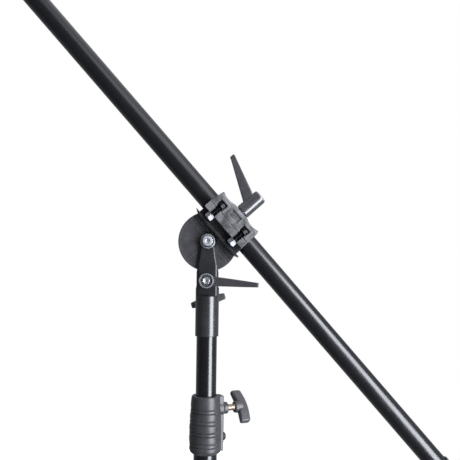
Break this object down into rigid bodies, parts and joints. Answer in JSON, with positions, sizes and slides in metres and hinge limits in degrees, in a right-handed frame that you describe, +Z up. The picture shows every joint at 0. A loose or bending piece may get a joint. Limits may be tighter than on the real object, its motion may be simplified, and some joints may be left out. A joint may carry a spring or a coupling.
{
  "type": "overhead boom arm",
  "caption": "Telescopic boom in a two-part tube clamp on a forked swivel head with a friction disc, clamping levers, T-knobs and a telescopic mast end.",
  "frame": {"origin": "centre of the foot plug's bottom face, on the mast's axis", "axes": "+Z up the mast, +X towards the boom's low rear end, +Y along the tilt axis away from the brake lever"},
  "size_m": [0.7448, 0.0957, 1.1197],
  "materials": {
    "gloss_black_tube": "gloss black lacquer on aluminium tube",
    "satin_black_tube": "satin black lacquer on aluminium tube",
    "satin_black_casting": "satin black coat on a die casting",
    "ribbed_grey_casting": "dark grey moulding with a fine grain",
    "grey_clamp_casting": "mid grey coat on a die casting",
    "grey_nylon": "dark grey glass-filled nylon",
    "lever_casting": "dark grey textured powder coat",
    "zinc_steel": "bright zinc plate",
    "brass_stud": "plain brass thread",
    "black_rubber": "matte black"
  },
  "bodies": {
    "mast": {"lower_tube": "gloss_black_tube", "foot_plug": "black_rubber", "mast_collar": "ribbed_grey_casting", "mast_collar_screw": "zinc_steel", "mast_brake_pad": "black_rubber"},
    "mast_knob": {"mast_knob_stud": "brass_stud", "mast_knob_handle": "grey_nylon"},
    "riser": {"riser_tube": "gloss_black_tube", "riser_bush": "grey_nylon"},
    "head": {"yoke": "satin_black_casting", "pivot_bolt": "zinc_steel", "pivot_nut": "zinc_steel", "friction_washer_front": "black_rubber", "friction_washer_back": "black_rubber", "brake_washer": "zinc_steel", "brake_nut": "zinc_steel"},
    "yoke_knob": {"yoke_knob_stud": "brass_stud", "yoke_knob_handle": "grey_nylon"},
    "brake_stud": {"brake_lever_insert": "zinc_steel", "brake_lever_screw": "zinc_steel"},
    "brake_handle": {"brake_lever": "lever_casting", "brake_lever_spring": "zinc_steel"},
    "boom_head": {"pivot_disc": "satin_black_casting", "clamp_base": "grey_clamp_casting", "clamp_cap": "grey_clamp_casting", "clamp_pad": "black_rubber", "saddle_screw_1": "zinc_steel", "saddle_screw_2": "zinc_steel", "saddle_screw_3": "zinc_steel", "saddle_screw_4": "zinc_steel", "clamp_screw_1": "zinc_steel", "clamp_screw_2": "zinc_steel", "clamp_screw_3": "zinc_steel", "clamp_screw_4": "zinc_steel", "clamp_nut_1": "zinc_steel", "clamp_nut_2": "zinc_steel", "clamp_nut_3": "zinc_steel", "clamp_nut_4": "zinc_steel"},
    "boom_stud": {"boom_lever_insert": "zinc_steel", "boom_lever_screw": "zinc_steel"},
    "boom_handle": {"boom_lever": "lever_casting", "boom_lever_spring": "zinc_steel"},
    "boom": {"boom_tube": "satin_black_tube", "boom_rear_cap": "grey_nylon", "hook_pin": "zinc_steel", "front_collar": "ribbed_grey_casting", "front_collar_screw": "zinc_steel", "front_brake_pad": "black_rubber"},
    "front_knob": {"front_knob_stud": "brass_stud", "front_knob_handle": "grey_nylon"},
    "extension": {"extension_tube": "gloss_black_tube", "extension_bush": "grey_nylon", "spigot": "zinc_steel"},
    "hook": {"counterweight_hook": "zinc_steel"}
  },
  "joints": [
    {"name": "riser_slide", "type": "slide", "parent": "mast", "child": "riser", "axis": [0, 0, 1], "range_m": [-0.07, 0.22]},
    {"name": "mast_knob_turn", "type": "hinge", "parent": "mast", "child": "mast_knob", "pos_m": [0, 0, 0.3944], "axis": [0.9063, 0.4226, 0], "continuous": true},
    {"name": "head_swivel", "type": "hinge", "parent": "riser", "child": "head", "pos_m": [0, 0, 0.6], "axis": [0, 0, 1], "continuous": true},
    {"name": "yoke_knob_turn", "type": "hinge", "parent": "head", "child": "yoke_knob", "pos_m": [0, 0, 0.5264], "axis": [0, 1, 0], "continuous": true},
    {"name": "brake_lever_turn", "type": "hinge", "parent": "head", "child": "brake_stud", "pos_m": [0, 0, 0.5522], "axis": [0, -1, 0], "continuous": true},
    {"name": "brake_lever_lift", "type": "slide", "parent": "brake_stud", "child": "brake_handle", "axis": [0, -1, 0], "range_m": [0, 0.004], "stiffness_N_per_m": 400, "springref_m": -0.004},
    {"name": "boom_tilt", "type": "hinge", "parent": "head", "child": "boom_head", "pos_m": [0, 0, 0.6], "axis": [0, 1, 0], "range_deg": [-118.4, 21.6]},
    {"name": "boom_lever_turn", "type": "hinge", "parent": "boom_head", "child": "boom_stud", "pos_m": [0.02565, 0, 0.62277], "axis": [0.7478, 0, 0.6639], "continuous": true},
    {"name": "boom_lever_lift", "type": "slide", "parent": "boom_stud", "child": "boom_handle", "axis": [0.7478, 0, 0.6639], "range_m": [0, 0.004], "stiffness_N_per_m": 400, "springref_m": -0.004},
    {"name": "boom_slide", "type": "slide", "parent": "boom_head", "child": "boom", "axis": [0.6639, 0, -0.7478], "range_m": [-0.34, 0.4]},
    {"name": "front_knob_turn", "type": "hinge", "parent": "boom", "child": "front_knob", "pos_m": [-0.3259, 0, 1.01873], "axis": [0.7478, 0, 0.6639], "continuous": true},
    {"name": "extension_slide", "type": "slide", "parent": "boom", "child": "extension", "axis": [-0.6639, 0, 0.7478], "range_m": [-0.075, 0.34]},
    {"name": "hook_swing", "type": "hinge", "parent": "boom", "child": "hook", "pos_m": [0.31645, 0, 0.29524], "axis": [0, 1, 0], "range_deg": [-141.6, 58.4]}
  ]
}
